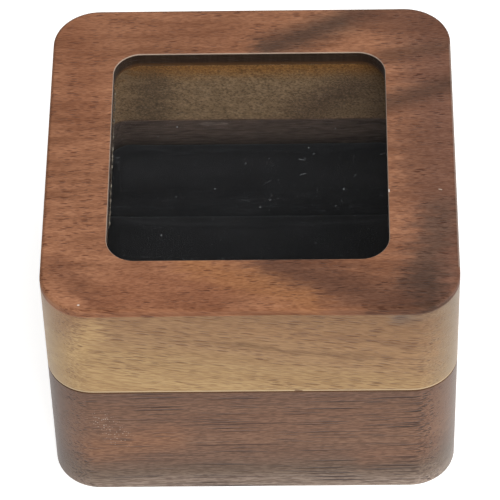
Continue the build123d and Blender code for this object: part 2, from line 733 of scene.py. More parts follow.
    def glinting(self, spot: Spot, under: Socket) -> Socket:
        """Lays the glints of open pores that catch the light over a colour.

        Args:
            spot: Where the colour is drawn.
            under: The colour.

        Returns:
            The colour with its glints.
        """
        dots = self.dashes(spot.tree, spot.place, self.glint_size, self.glint_chances)
        seen = add(spot.tree, "Math.GREATER_THAN", dots, self.glint_least)
        share = self.glints.share(spot.tree, spot.place)
        share = add(spot.tree, "Math.MULTIPLY", share, seen)
        return tint(spot.tree, share, under, self.glints.colour)

    def figured(self, spot: Spot) -> Socket:
        """Draws the wood's colours without its pores: heartwood, figure, sides and painted shade under the
        top.

        Args:
            spot: Where the colour is drawn.

        Returns:
            The colour.
        """
        tree, flow = spot.tree, spot.flow
        cloud = mottle(tree, spot.place, self.cloud_size)
        band = mottle(tree, flow, self.band_size, 3.0)
        tone = add(tree, "Math.ADD", band, cloud)
        heart = self.ramp(tree, tone, self.heart, *self.heart_ends)
        heart = self.streaked(tree, spot.torn, heart, self.figure)

        rise = add(tree, "SeparateXYZ", flow, out="Z")
        drift = add(tree, "Math.MULTIPLY_ADD", band, self.side_drift, -self.side_drift / 2)
        rise = add(tree, "Math.ADD", rise, drift)
        sides = self.ramp(tree, rise, self.sides, *self.side_heights)
        sides = self.shade(tree, self.rings(spot, cloud), sides, self.ring_depth)
        sides = self.streaked(tree, spot.torn, sides, self.side_figure)

        wobble = add(tree, "Math.MULTIPLY_ADD", cloud, self.heart_wobble, -self.heart_wobble / 2)
        edge = add(tree, "Math.ADD", spot.height, wobble)
        inner = between(tree, edge, *self.heart_heights)
        colour = tint(tree, inner, sides, heart)
        # Painted shade in a band just under the top, where the heartwood meets the sides, which the lamps
        # light more than the top.
        fade = between(tree, edge, *(self.heart_heights[1] + step for step in self.border_heights))
        border_shade = add(tree, "Math.MULTIPLY", inner, fade)
        colour = self.shade(tree, border_shade, colour, self.border_shade_depth)
        return self.shade(tree, between(tree, band, *self.band_ends), colour, self.band_depth)

    def oiled(self, spot: Spot, shape: BlockShape, fibre: Socket, pores: Socket) -> Socket:
        """Draws the oiled wood of the outer faces.

        Args:
            spot: Where the colour is drawn.
            shape: Where the block is worn.
            fibre: The noise of the fibres.
            pores: Where the open pores are.

        Returns:
            The colour.
        """
        tree = spot.tree
        end = self.end_share(tree)
        colour = self.shade(tree, end, self.figured(spot), self.end_depth)
        along = add(tree, "Math.MULTIPLY_ADD", end, -self.end_filled, 1.0)
        lines = self.dashes(tree, spot.flow, self.line_size, self.line_chances)
        strands = between(tree, fibre, *self.fibre_ends)
        depths = (self.fibre_depth, self.line_depth, self.pore_depth)
        for share, depth in zip((strands, lines, pores), depths):
            share = add(tree, "Math.MULTIPLY", share, along)
            colour = self.shade(tree, share, colour, depth)
        return tint(tree, shape.worn_share(spot), colour, self.arris)

    def bared(self, spot: Spot) -> Socket:
        """Draws the bare milled wood of the hollow, with the fuzz that the cutter raised.

        Args:
            spot: Where the colour is drawn.

        Returns:
            The colour.
        """
        tree = spot.tree
        tone = mottle(tree, spot.flow, self.bare_size, 4.0)
        fuzz = mottle(tree, spot.flow, self.fuzz_size, 3.0)
        bare = self.ramp(tree, tone, self.bare, *self.bare_ends)
        bare = self.streaked(tree, spot.torn, bare, self.bare_figure_and_painted_light)
        fuzz = between(tree, fuzz, *self.fuzz_ends, smooth=False)
        return self.shade(tree, fuzz, bare, self.fuzz_depth)

    def charred(self, spot: Spot, shape: BlockShape) -> Socket:
        """Draws the charred wall of the window, scorched amber along its foot.

        Args:
            spot: Where the colour is drawn.
            shape: Where the window's wall is.

        Returns:
            The colour.
        """
        tree, low = spot.tree, shape.hollow_high
        ticks = mottle(tree, spot.place, self.char_size)
        foot = between(tree, spot.height, low + self.scorch_height, low)
        return tint(tree, foot, self.ramp(tree, ticks, self.char, *self.char_ends), self.scorch)

    def material(self, shape: BlockShape) -> Material:
        """Makes the walnut for one block of the box.

        Args:
            shape: Where the block is hollow, charred or worn.

        Returns:
            The material.
        """
        material, tree = new_material(self.name)
        spot = self.spot(tree)
        fibre = mottle(tree, spot.flow, self.fibre_size, 1.0)
        pores = self.pores(spot)
        hollow = shape.hollow().share(spot)
        colour = tint(tree, hollow, self.oiled(spot, shape, fibre, pores), self.bared(spot))
        rough = add(tree, "Math.MULTIPLY_ADD", hollow, self.rougher_hollow, self.roughness)
        if shape.window:
            cut, rounding = shape.cut().share(spot), shape.rounding().share(spot)
            colour = tint(tree, cut, colour, self.charred(spot, shape))
            # Painted shade: the rounded rim round the top is darkened, as the lamps light it more than the
            # flat top.
            colour = self.shade(tree, rounding, colour, self.rounding_shade_depth)
            colour = tint(tree, shape.rim().share(spot), colour, self.rim_line)
            for share in (cut, rounding):
                rough = add(tree, "Math.MULTIPLY_ADD", share, self.rougher_rim, rough)
        colour = self.streaked(tree, spot.place, colour, self.marks)
        if self.glints:
            colour = self.glinting(spot, colour)

        relief = add(tree, "Math.MULTIPLY", pores, self.pore_relief)
        relief = add(tree, "Math.MULTIPLY_ADD", fibre, self.fibre_relief, relief)
        bump = add(tree, "Bump", {"Strength": 1.0, "Distance": MM, "Height": relief})
        surface = add(tree, "BsdfPrincipled", {
            "Base Color": colour, "Roughness": rough, "IOR": 1.5, "Specular IOR Level": 0.5,
            "Specular Tint": linear("#c49a7a"), "Sheen Weight": 0.08, "Sheen Roughness": 0.4,
            "Sheen Tint": linear("#d5d5d8"), "Normal": bump})
        add(tree, "OutputMaterial", surface)
        return material


@dataclass(frozen=True)
class ClearAcrylic:
    """Cast clear acrylic sheet, polished, with the dust and hair scratches that it picks up.

    The middle is the height halfway through the sheet, above which the dust and scratches lie. A
    scratch has the X and Y of both ends and its strength, a speck its X, Y and strength.
    """

    middle: float
    clear: str = "#f4f6f6"
    dust: str = "#b2b5b9"
    dust_gap: float = 1.5
    dust_strength: float = 0.4
    dust_chances: Pair = (0.5, 1.0)
    dust_ends: Pair = (0.075, 0.035)
    scratch_width: float = 0.09
    speck_width: float = 0.15
    speck_length: float = 0.04
    scratches: tuple[tuple[float, ...], ...] = (
        (7.7, 1.4, 8.6, 1.2, 0.32),
        (7.9, -1.9, 8.7, -1.7, 0.26),
        (2.3, -3.7, 3.2, -3.1, 0.16),
        (-1.5, -7.1, -0.2, -7.6, 0.14),
        (2.8, -7.2, 3.2, -7.2, 0.3),
        (-21.7, 2.1, -21.0, 2.2, 0.22),
        (-21.7, 1.2, -21.1, 1.1, 0.22),
        (20.7, 2.3, 21.4, 2.6, 0.26),
        (20.5, -6.5, 20.9, -6.6, 0.2),
    )
    specks: tuple[Triple, ...] = (
        (9.2, 3.9, 1.0), (10.0, 2.6, 0.5), (-0.9, 0.6, 0.7), (-12.0, 8.75, 0.9), (13.55, 8.05, 0.5),
        (-4.3, -19.5, 0.5), (-5.7, -4.8, 0.9), (14.7, -5.1, 0.9), (-11.9, -6.4, 0.5), (1.5, -8.8, 0.6),
        (-5.9, -11.3, 0.5), (-14.0, -14.5, 0.9), (10.2, -16.4, 0.5), (16.6, -2.1, 0.4), (4.4, -3.0, 0.3),
        (13.2, 4.5, 0.4), (16.4, 2.0, 0.35), (-13.5, 6.3, 0.4), (-17.4, -12.3, 0.3),
    )

    def blemishes(self) -> Iterator[Streak]:
        """Gives the scratches, and the specks as very short scratches.

        Returns:
            Each one as a streak at height 0.
        """
        for x, y, end_x, end_y, strength in self.scratches:
            yield Streak((x, y, 0.0), (end_x, end_y, 0.0), self.scratch_width, self.dust, strength)
        for x, y, strength in self.specks:
            end = (x + self.speck_length, y, 0.0)
            yield Streak((x, y, 0.0), end, self.speck_width, self.dust, strength)

    def marks(self, tree: Tree) -> Socket:
        """Draws the dust and the scratches.

        Args:
            tree: The material's node tree.

        Returns:
            A share that is 1 under a speck of dust.
        """
        place = in_millimetres(tree)
        flat = add(tree, "VectorMath.MULTIPLY", place, FLAT)
        height = add(tree, "SeparateXYZ", place, out="Z")
        cells = {"Vector": stretched(tree, flat, (self.dust_gap,) * 3), "Scale": 1.0, "Randomness": 1.0}
        gap = add(tree, "TexVoronoi", cells)
        draw = add(tree, "SeparateColor", gap.node.outputs["Color"])
        rare = between(tree, draw, *self.dust_chances)
        marks = add(tree, "Math.MULTIPLY", between(tree, gap, *self.dust_ends), rare)
        marks = add(tree, "Math.MULTIPLY", marks, self.dust_strength)
        for streak in self.blemishes():
            marks = add(tree, "Math.MAXIMUM", marks, streak.share(tree, flat))
        upper = between(tree, height, self.middle - 0.1, self.middle + 0.1, smooth=False)
        return add(tree, "Math.MULTIPLY", marks, upper)

    def material(self) -> Material:
        """Makes the acrylic, which lets lamps light what is behind it.

        Returns:
            The material.
        """
        material, tree = new_material("clear_acrylic")
        clear = add(tree, "BsdfPrincipled", {
            "Base Color": linear(self.clear), "Roughness": 0.02, "IOR": 1.49, "Transmission Weight": 1.0})
        dust = add(tree, "BsdfPrincipled", {"Base Color": linear(self.dust), "Roughness": 0.8})
        dusty = add(tree, "MixShader", self.marks(tree), clear, dust)
        through = add(tree, "BsdfTransparent", {"Color": linear(self.clear)})
        window = add(tree, "MixShader", add(tree, "LightPath", out="Is Shadow Ray"), dusty, through)
        add(tree, "OutputMaterial", window)
        return material


@dataclass(frozen=True)
class ClearAdhesive:
    """Clear contact adhesive, dried glossy and a little yellow, with small bubbles."""

    clear: str = "#8d8679"
    clotted: str = "#4a4036"
    bubble: float = 0.35

    def material(self) -> Material:
        """Makes the adhesive.

        Returns:
            The material.
        """
        material, tree = new_material("dried_clear_adhesive")
        unit = stretched(tree, in_millimetres(tree), (self.bubble,) * 3)
        cells = add(tree, "TexVoronoi", {"Vector": unit, "Scale": 1.0})
        clots = add(tree, "TexNoise", {"Vector": unit, "Scale": 0.4, "Detail": 2.0})
        tone = add(tree, "ValToRGB", clots, stops=[(0.3, self.clotted), (0.7, self.clear)])
        rough = between(tree, clots, 0.2, 1.6, smooth=False)
        bump = add(tree, "Bump", {"Strength": 0.6, "Distance": 0.05 * MM, "Height": cells})
        surface = add(tree, "BsdfPrincipled", {
            "Base Color": tone, "Roughness": rough, "IOR": 1.47, "Normal": bump})
        add(tree, "OutputMaterial", surface)
        return material


@dataclass(frozen=True)
class Velvet:
    """Black cotton velvet with a short cut pile, which goes lighter where it is brushed."""

    dark: str = "#18181a"
    light: str = "#29292b"
    pile: Triple = (0.16, 0.16, 0.16)
    brushed: Triple = (10.8, 6.0, 6.0)

    def material(self) -> Material:
        """Makes the velvet, whose sheen is the pile catching the light at a low angle.

        Returns:
            The material.
        """
        material, tree = new_material("black_cotton_velvet")
        place = in_millimetres(tree)
        pile = mottle(tree, place, self.pile, 1.0)
        both = add(tree, "Math.ADD", mottle(tree, place, self.brushed), pile)
        share = between(tree, both, 0.75, 1.25, smooth=False)
        tone = add(tree, "ValToRGB", share, stops=[(0.0, self.dark), (1.0, self.light)])
        bump = add(tree, "Bump", {"Strength": 0.8, "Distance": 0.08 * MM, "Height": pile})
        surface = add(tree, "BsdfPrincipled", {
            "Base Color": tone, "Roughness": 0.95, "Specular IOR Level": 0.15, "Sheen Weight": 0.25,
            "Sheen Roughness": 0.45, "Sheen Tint": linear("#9a9da4"), "Normal": bump})
        add(tree, "OutputMaterial", surface)
        return material


@dataclass(frozen=True)
class Foam:
    """Charcoal polyurethane foam, cut from a block, so its cells stand open."""

    dark: str = "#26272a"
    light: str = "#4a4c50"
    cell: float = 0.45

    def material(self) -> Material:
        """Makes the foam.

        Returns:
            The material.
        """
        material, tree = new_material("charcoal_cut_foam")
        unit = stretched(tree, in_millimetres(tree), (self.cell,) * 3)
        cells = add(tree, "TexVoronoi", {"Vector": unit, "Scale": 1.0})
        tone = add(tree, "ValToRGB", cells, stops=[(0.1, self.dark), (0.6, self.light)])
        bump = add(tree, "Bump", {"Strength": 1.0, "Distance": 0.2 * MM, "Height": cells})
        surface = add(tree, "BsdfPrincipled", {"Base Color": tone, "Roughness": 0.95, "Normal": bump})
        add(tree, "OutputMaterial", surface)
        return material


@dataclass(frozen=True)
class Greyboard:
    """Recycled greyboard, pressed smooth, with fibres and darker flecks in it."""

    dark: str = "#7c7a74"
    light: str = "#a19e96"
    fleck: str = "#5b5750"
    fibre: Triple = (1.6, 0.3, 0.3)

    def material(self) -> Material:
        """Makes the greyboard.

        Returns:
            The material.
        """
        material, tree = new_material("recycled_greyboard")
        place = in_millimetres(tree)
        fibre = mottle(tree, place, self.fibre, 3.0)
        tone = add(tree, "ValToRGB", fibre, stops=[(0.3, self.dark), (0.7, self.light)])
        spots = add(tree, "TexVoronoi", {"Vector": place, "Scale": 0.9})
        flecked = tint(tree, between(tree, spots, 0.14, 0.08), tone, self.fleck)
        bump = add(tree, "Bump", {"Strength": 0.5, "Distance": 0.05 * MM, "Height": fibre})
        surface = add(tree, "BsdfPrincipled", {"Base Color": flecked, "Roughness": 0.9, "Normal": bump})
        add(tree, "OutputMaterial", surface)
        return material


@dataclass(frozen=True)
class NickelPlate:
    """Bright nickel plate over a sintered magnet, tumbled, with a faint orange peel."""

    colour: str = "#c9c4bb"
    peel: Triple = (0.4, 0.4, 0.4)

    def material(self) -> Material:
        """Makes the nickel plate.

        Returns:
            The material.
        """
        material, tree = new_material("bright_nickel_plate")
        peel = mottle(tree, in_millimetres(tree), self.peel, 3.0)
        rough = add(tree, "Math.MULTIPLY_ADD", peel, 0.25, 0.12)
        bump = add(tree, "Bump", {"Strength": 0.3, "Distance": 0.02 * MM, "Height": peel})
        surface = add(tree, "BsdfPrincipled", {
            "Base Color": linear(self.colour), "Metallic": 1.0, "Roughness": rough, "Normal": bump})
        add(tree, "OutputMaterial", surface)
        return material


LID_WALNUT = Walnut(
    name="oiled_walnut_lid",
    heart=("#8a5e45", "#9e6e52", "#ae7b5c"),
    sides=("#ae9166", "#a68961", "#9b7c5a", "#957453", "#87684b"),
    side_heights=(24.5, 44.0),
    heart_heights=(42.95, 43.2),
    bare=("#a98a6b", "#9a7d5f"),
    arris="#b59d7d",
    slope=-10.0,
    pith=(40.0, 110.0),
    ring_spacing=3.4,
    pore_size=(3.2, 0.36, 0.36),
    fine_pore_size=(2.0, 0.26, 0.26),
    pore_depth=(0.5, 0.6, 0.63),
    line_size=(12.0, 0.34, 0.34),
    line_depth=(0.1, 0.13, 0.14),
    figure=(
        Streak((-29.0, 31.0, 44.5), (-27.0, 9.0, 44.5), 8.0, "#84553d", 0.6),
        Streak((-20.0, -27.0, 44.5), (-4.0, -28.0, 44.5), 5.5, "#8b5a41", 0.6),
        Streak((-24.0, -30.8, 44.5), (-6.0, -31.8, 44.5), 3.0, "#87573f", 0.6),
        Streak((-22.0, 29.5, 44.5), (2.0, 26.5, 44.5), 6.0, "#875a42", 0.6),
        Streak((30.0, 31.0, 44.5), (31.0, -31.0, 44.5), 12.0, "#7b5849", 0.95),
        Streak((2.5, 23.4, 44.5), (19.0, 31.6, 44.5), 5.0, "#544238", 0.9),
        Streak((20.0, 31.0, 44.5), (32.0, 28.0, 44.5), 6.0, "#6f4c3c", 0.85),
        Streak((26.0, 3.0, 44.5), (27.0, -7.0, 44.5), 7.0, "#73503f", 0.45),
        Streak((21.6, 21.4, 44.5), (31.6, 23.5, 44.5), 2.8, "#5d4436", 0.55),
        Streak((21.5, 10.6, 44.5), (32.5, 15.2, 44.5), 3.8, "#553f34", 0.8),
        Streak((30.0, -13.0, 44.5), (26.4, -27.6, 44.5), 5.5, "#5c4a40", 0.7),
        Streak((26.5, -27.6, 44.5), (27.6, -33.0, 44.0), 6.4, "#4a3b34", 0.8),
        Streak((19.0, -32.4, 43.9), (29.0, -31.9, 43.9), 1.3, "#33271f", 0.7),
        Streak((3.5, -23.3, 44.5), (22.0, -31.0, 44.0), 8.0, "#664739", 0.92),
        Streak((-30.2, -21.9, 44.5), (-24.0, -30.4, 44.5), 2.8, "#6b4334", 0.4),
        Streak((-9.0, -23.0, 44.5), (9.0, -31.0, 44.5), 4.5, "#a8744b", 0.6),
    ),
    side_figure=(
        Streak((23.5, -32.4, 42.7), (32.4, -27.0, 42.7), 3.1, "#6c5f55", 0.75),
        Streak((31.5, -28.5, 26.0), (31.5, -28.5, 42.0), 8.0, "#82735c", 0.65),
        Streak((-28.0, -32.3, 33.0), (-24.0, -32.5, 40.5), 3.5, "#c2a473", 0.5),
        Streak((-22.0, -32.5, 42.2), (-2.0, -32.5, 41.0), 3.0, "#8c6d4f", 0.5),
        Streak((-23.0, -32.5, 38.6), (-1.5, -32.5, 36.2), 1.0, "#86684a", 0.5),
        Streak((-1.5, -32.5, 36.2), (5.0, -32.5, 34.6), 1.1, "#705439", 0.75),
        Streak((5.0, -32.5, 34.6), (22.0, -32.5, 32.5), 1.1, "#76593f", 0.65),
        Streak((7.4, -32.5, 38.9), (26.0, -32.5, 35.1), 1.0, "#7b5d45", 0.6),
    ),
    bare_figure_and_painted_light=(
        # The amber band is partly the wood's warm tone and partly painted shadow of the ledge, darkest in
        # the thin line just under the pane.
        Streak((-18.0, 25.5, 37.4), (20.0, 25.5, 37.4), 4.0, "#b3793c", 0.78),
        Streak((-25.0, 25.5, 38.6), (25.0, 25.5, 38.6), 1.0, "#57371c", 0.6),
        Streak((-16.5, 25.5, 34.0), (-17.0, 25.5, 25.0), 6.0, "#655341", 0.7),
        Streak((8.5, 25.5, 26.5), (16.0, 25.5, 32.0), 6.0, "#6d5746", 0.7),
        Streak((24.0, 25.5, 37.0), (24.0, 25.5, 26.0), 7.0, "#775a41", 0.6),
        Streak((-24.5, 24.0, 38.5), (-24.0, 24.0, 34.0), 2.6, "#a5703c", 0.6),
    ),
    marks=(
        # The two grey lines along the right and back top edges are painted reflection of the pale room at
        # a grazing angle.
        Streak((32.35, -24.0, 44.25), (32.35, 24.0, 44.25), 0.35, "#9b9087", 0.7),
        Streak((-24.0, 32.35, 44.25), (24.0, 32.35, 44.25), 0.35, "#92857a", 0.5),
        Streak((-26.25, -31.3, 44.5), (-26.15, -31.3, 44.5), 0.22, "#e4ddd4", 0.95),
        Streak((29.7, -8.0, 44.5), (30.1, -8.1, 44.5), 0.16, "#cdbfae", 0.7),
        Streak((21.8, -8.0, 44.5), (21.8, -8.4, 44.5), 0.2, "#efe9e0", 0.95),
        Streak((6.9, -32.5, 24.8), (7.8, -32.5, 24.7), 0.34, "#5f4634", 0.95),
    ),
)

BASE_WALNUT = Walnut(
    name="oiled_walnut_base",
    heart=("#5a4133", "#6b4f3e", "#7a5b47"),
    # The palest, greyest stop at the foot is painted light from the bright floor's bounce and reflection.
    sides=("#a09083", "#6c5b4e", "#6e5445", "#7c5d4a", "#775846", "#745644", "#6a4f41"),
    side_heights=(0.0, 24.5),
    heart_heights=(900.0, 901.0),
    bare=("#67574f", "#5f5049"),
    fuzz_size=(2.2, 0.26, 0.26),
    fibre_size=(1.4, 0.17, 0.17),
    fibre_depth=(0.4, 0.44, 0.45),
    arris="#4d3525",
    slope=1.0,
    pith=(-20.0, -160.0),
    ring_spacing=4.2,
    pore_size=(14.0, 0.4, 0.4),
    fine_pore_size=(7.0, 0.3, 0.3),
    pore_depth=(0.84, 0.87, 0.84),
    pore_chances=(0.35, 0.8),
    fine_chances=(0.42, 0.9),
    line_size=(34.0, 0.5, 0.5),
    line_depth=(0.7, 0.74, 0.71),
    side_figure=(
        Streak((-25.0, -32.5, 10.0), (-14.0, -32.5, 13.0), 5.5, "#8f6346", 0.55),
        Streak((18.0, -32.5, 7.0), (27.0, -32.5, 9.0), 4.5, "#845c45", 0.4),
        Streak((-32.0, -27.5, 2.0), (-32.0, -27.5, 22.0), 6.5, "#463227", 0.9),
        Streak((32.0, -27.5, 1.0), (32.0, -26.5, 22.0), 6.5, "#594e45", 0.6),
    ),
    bare_figure_and_painted_light=(
        # Painted shade darkens the wall's foot towards the pad, and a painted highlight lies along its top
        # edge.
        Streak((-25.0, 25.5, 18.8), (25.0, 25.5, 18.8), 3.0, "#362e2a", 0.6),
        Streak((-8.5, 25.5, 23.6), (-4.5, 25.5, 23.6), 0.6, "#ae9e95", 0.5),
    ),
    glints=Streak((-24.2, -32.5, 17.8), (-21.2, -32.5, 12.8), 3.1, "#bcaea3", 0.7),
    side_drift=6.0,
)


@dataclass
class Lid:
    """The upper block with its window, the pane behind it and the adhesive that holds the pane.

    Sizes are in millimetres; heights come from the frame. The bead of adhesive is a thread all
    round. It swells between its ends along Y, left of where its fade along X starts, and is full
    after the fade's length.
    """

    window: RoundedSquare = RoundedSquare(22.05, 22.35, 4.5, -0.35)
    worn_reach: float = 0.34
    bead_step: float = 0.4
    bead_radius: float = 0.05
    bead_setback: float = 0.1
    bead_ends: Pair = (-13.5, 17.5)
    bead_fade: Pair = (-19.5, 2.5)
    bead_thread: float = 0.2
    bead_body: float = 0.3
    bead_lump: float = 0.11
    bead_drift: float = 0.18
    lump_length: float = 0.7
    # The clear film under the pane is given the dark colour of shaded wood seen through it: painted shade.
    clotted: ClearAdhesive = ClearAdhesive("#54432f", "#3a2d20")

    def dress_blocks(self) -> None:
        """Finishes the lid's block, its pane and the ring of adhesive."""
        low, high = (corner.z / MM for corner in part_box("lid_block"))
        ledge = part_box("pane_adhesive")[1].z / MM
        middle = sum(corner.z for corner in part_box("window_pane")) / 2 / MM
        seam = round(low, 2)
        shape = BlockShape(seam, round(ledge, 2), seam, 1.0, self.worn_reach, round(high, 2), self.window)
        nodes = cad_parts
        dress(nodes["lid_block"], LID_WALNUT.material(shape))
        dress(nodes["window_pane"], ClearAcrylic(round(middle, 2)).material())
        dress(nodes["pane_adhesive"], self.clotted.material())

    def bead_loop(self) -> Shape:
        """Adds the loop of short edges that the bead of adhesive follows, round the window's wall.

        Returns:
            The loop, a mesh without faces.
        """
        low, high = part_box("pane_adhesive")
        bpy.ops.object.select_all(action="DESELECT")
        middle = Vector((self.window.centre_x * MM, 0.0, (low.z + high.z) / 2))
        bpy.ops.mesh.primitive_plane_add(size=1, location=middle)
        bead = bpy.context.object
        bead.name = bead.data.name = "adhesive_bead"
        half_x, half_y = self.window.half_x, self.window.half_y
        size = Vector((half_x + self.bead_setback, half_y + self.bead_setback, 0.5)) * 2
        bead.scale = size * MM
        settle(bead)
        with edit_mode(bead):
            radius = self.window.radius * MM
            pick(bead, Element.POINTS)
            bpy.ops.mesh.bevel(offset=radius, segments=14, affect="VERTICES")
            pick(bead, Element.EDGES, lambda edge: edge.calc_length() > radius)
            bpy.ops.mesh.subdivide(number_cuts=round(size.x / self.bead_step))
            pick(bead, Element.FACES)
            bpy.ops.mesh.delete(type="ONLY_FACE")
        return bead

    def squeeze_out(self) -> None:
        """Models the bead that was pressed out of the joint, thickest and most uneven on the left."""
        self.bead_loop()
        bpy.ops.object.convert(target="CURVE")
        bead = bpy.context.object
        bead.data.dimensions = "3D"
        bead.data.bevel_depth = self.bead_radius * MM
        bead.data.bevel_resolution = 2
        front, back = self.bead_ends
        fade, fade_length = self.bead_fade
        for point in bead.data.splines[0].points:
            place = point.co.to_3d() / MM
            lump = max(0.0, noise.noise(place / self.lump_length) + 0.1) * 2
            ends = min(1.0, max(0.0, min(place.y - front, back - place.y)))
            left = min(1.0, max(0.0, (fade - place.x) / fade_length)) * ends
            point.co.x += left * (self.bead_setback + self.bead_drift) * MM
            body = self.bead_body + lump * self.bead_lump / self.bead_radius
            point.radius = self.bead_thread + left * body
        bpy.ops.object.convert(target="MESH")
        bead = bpy.context.object
        bpy.ops.object.shade_smooth()
        settle(bead)
        dress(bead, ClearAdhesive().material())
        seat(bead, Body.LID)


@dataclass
class Base:
    """The lower block, a plain walnut tray with the pad board on its floor (millimetres)."""

    worn_reach: float = 0.16

    def dress_blocks(self) -> None:
        """Finishes the base's block and the board that the pad is glued to."""
        seam = round(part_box("base_block")[1].z / MM, 2)
        floor = round(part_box("pad_board")[0].z / MM, 2)
        shape = BlockShape(floor, seam, seam, -1.0, self.worn_reach, seam)
        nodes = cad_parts
        dress(nodes["base_block"], BASE_WALNUT.material(shape))
        dress(nodes["pad_board"], Greyboard().material())


@dataclass
class RingPad:
    """Three foam bars wrapped in velvet, side by side, so that two slits hold the rings.

    Sizes are in millimetres; each bar's box comes from the frame.
    """

    corner_radius: float = 4.2
    end_radius: float = 0.7
    edge_radius: float = 0.5
    swell_over: float = 0.4
    start_inset: float = 0.12
    voxel: float = 0.85
    swell_scale: float = 8.0
    most_swell: float = 0.4
    pressure: float = 4.0
    frames: int = 20
    velvet_thickness: float = 0.7
    core_drop: float = 0.45
    cell_depth: float = 0.06
    cell_size: float = 0.9

    def bar(self, name: str, place: Bar, low: Vector, high: Vector) -> Shape:
        """Models one bar as a block in even quads, with rounded ends and a rounded top rim.

        Args:
            name: The piece's name.
            place: Which of the three bars it is.
            low: The lowest corner in metres.
            high: The highest corner in metres.

        Returns:
            The bar.
        """
        piece = new_box(name, low, high)
        wall = {Bar.FRONT: low.y, Bar.REAR: high.y}.get(place)

        def upright(edge: bmesh.types.BMEdge, by_wall: bool) -> bool:
            """Whether an edge stands upright, on the box's wall or away from it."""
            a, b = (point.co for point in edge.verts)
            stands = level(a.x, b.x) and level(a.y, b.y)
            return stands and (wall is not None and level(a.y, wall)) == by_wall

        with edit_mode(piece):
            for by_wall, radius in ((True, self.corner_radius), (False, self.end_radius)):
                if pick(piece, Element.EDGES, lambda edge: upright(edge, by_wall)):
                    bpy.ops.mesh.bevel(offset=radius * MM, segments=8, affect="EDGES")
            for height, radius in ((high.z, self.edge_radius), (low.z, self.end_radius)):
                pick(piece, Element.FACES, lambda face: lies_at(face, height))
                bpy.ops.mesh.region_to_loop()
                bpy.ops.mesh.bevel(offset=radius * MM, segments=5, affect="EDGES", clamp_overlap=True)
        apply_modifier(piece, "REMESH", mode="VOXEL", voxel_size=self.voxel * MM, use_smooth_shade=True)
        return piece

    def swell(self, piece: Shape, low: Vector, high: Vector) -> None:
        """Blows the bar up as cloth over foam, with its foot held, and keeps it in its place.

        Args:
            piece: The bar in even quads, which is changed.
            low: The lowest corner that it may reach.
            high: The highest corner that it may reach.
        """
        scene = bpy.context.scene
        piece.scale = (self.swell_scale,) * 3
        settle(piece)
        size = self.voxel * MM * self.swell_scale
        before = [point.co.copy() for point in piece.data.vertices]
        foot = min(point.z for point in before) + 1.5 * size
        group = piece.vertex_groups.new(name="foot")
        group.add([i for i, point in enumerate(before) if point.z < foot], 1.0, "REPLACE")
        cloth = piece.modifiers.new("cloth", "CLOTH")
        cloth.settings.use_pressure = True
        cloth.settings.uniform_pressure_force = self.pressure
        cloth.settings.vertex_group_mass = group.name
        cloth.settings.effector_weights.gravity = 0
        for span in (scene, cloth.point_cache):
            span.frame_start, span.frame_end = 1, self.frames
        for step in range(1, self.frames + 1):
            scene.frame_set(step)
        bpy.ops.object.modifier_apply(modifier=cloth.name)
        scene.frame_set(1)
        cap = self.most_swell * MM * self.swell_scale
        over = Vector((0.0, 0.0, self.swell_over * MM))
        floor, roof = low * self.swell_scale, (high + over) * self.swell_scale
        for point, old in zip(piece.data.vertices, before):
            moved = point.co - old
            if moved.length > cap:
                moved.length = cap
            point.co = [min(max(v, a), b) for v, a, b in zip(old + moved, floor, roof)]
        piece.vertex_groups.clear()
        piece.scale = (1 / self.swell_scale,) * 3
        settle(piece)

    def cover(self, place: Bar) -> None:
        """Models one velvet cover, closed on top and open where it is glued to the board.

        Args:
            place: Which of the three bars it is.
        """
        node = f"velvet_cover_{place.value}"
        low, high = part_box(node)
        inset = Vector((self.start_inset, self.start_inset, 0.0)) * MM
        piece = self.bar(f"velvet_bar_{place.value}", place, low + inset, high - inset)
        self.swell(piece, low, high)
        with edit_mode(piece):
            foot = low.z + 0.3 * self.voxel * MM
            pick(piece, Element.FACES, lambda face: all(point.co.z < foot for point in face.verts))
            bpy.ops.mesh.delete(type="FACE")
        apply_modifier(piece, "SUBSURF", levels=1, render_levels=1)
        apply_modifier(piece, "SOLIDIFY", thickness=self.velvet_thickness * MM, offset=-1.0)
        bpy.ops.object.shade_smooth()
        dress(piece, Velvet().material())
        seat(piece, Body.BASE, [node])

    def core(self, place: Bar) -> None:
        """Models the foam inside one cover, with its cut cells standing open.

        Args:
            place: Which of the three bars it is.
        """
        node = f"foam_bar_{place.value}"
        low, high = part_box(node)
        drop = Vector((0.0, 0.0, self.core_drop * MM))
        piece = self.bar(f"foam_core_{place.value}", place, low, high - drop)
        normals = [point.normal.copy() for point in piece.data.vertices]
        for point, normal in zip(piece.data.vertices, normals):
            depth = noise.noise(point.co / MM / self.cell_size) - 0.5
            point.co += normal * depth * self.cell_depth * MM
        dress(piece, Foam().material())
        seat(piece, Body.BASE, [node])


